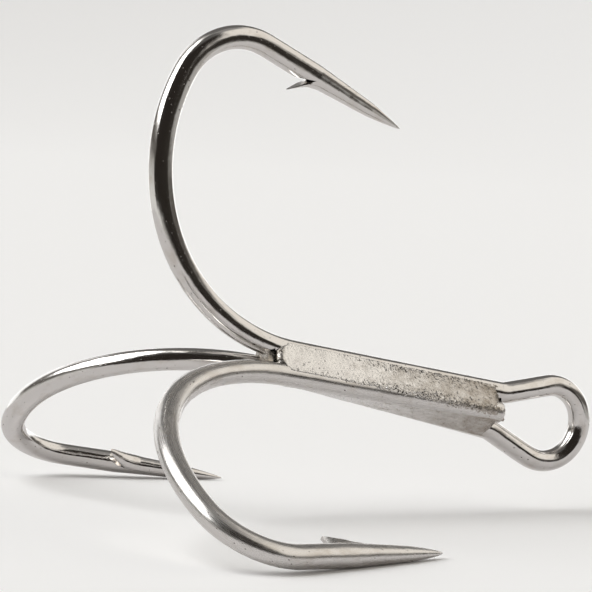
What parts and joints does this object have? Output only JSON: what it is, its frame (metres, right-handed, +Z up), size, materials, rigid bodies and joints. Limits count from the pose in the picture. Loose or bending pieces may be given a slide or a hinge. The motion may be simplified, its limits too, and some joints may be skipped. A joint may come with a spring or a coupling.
{
  "type": "treble hook",
  "caption": "Treble fish hook: a double hook bent from one wire, with the eye at its middle, and a single hook brazed into its groove.",
  "frame": {"origin": "middle of the footprint, on the surface that the hook lies on", "axes": "+X along the shank towards the eye, +Y towards the rear hook, +Z up, with the top hook standing up"},
  "size_m": [0.0516, 0.0492, 0.043],
  "materials": {
    "nickelled_wire": "bright nickel plate over polished steel wire, faintly warm",
    "nickelled_braze": "nickel plate over cast braze, finely grained and lightly pitted"
  },
  "bodies": {
    "root": {"double_hook_wire": "nickelled_wire", "single_hook_wire": "nickelled_wire", "braze_top_groove": "nickelled_braze", "braze_lower_groove": "nickelled_braze", "braze_rear_groove": "nickelled_braze", "braze_core": "nickelled_braze"}
  },
  "joints": []
}
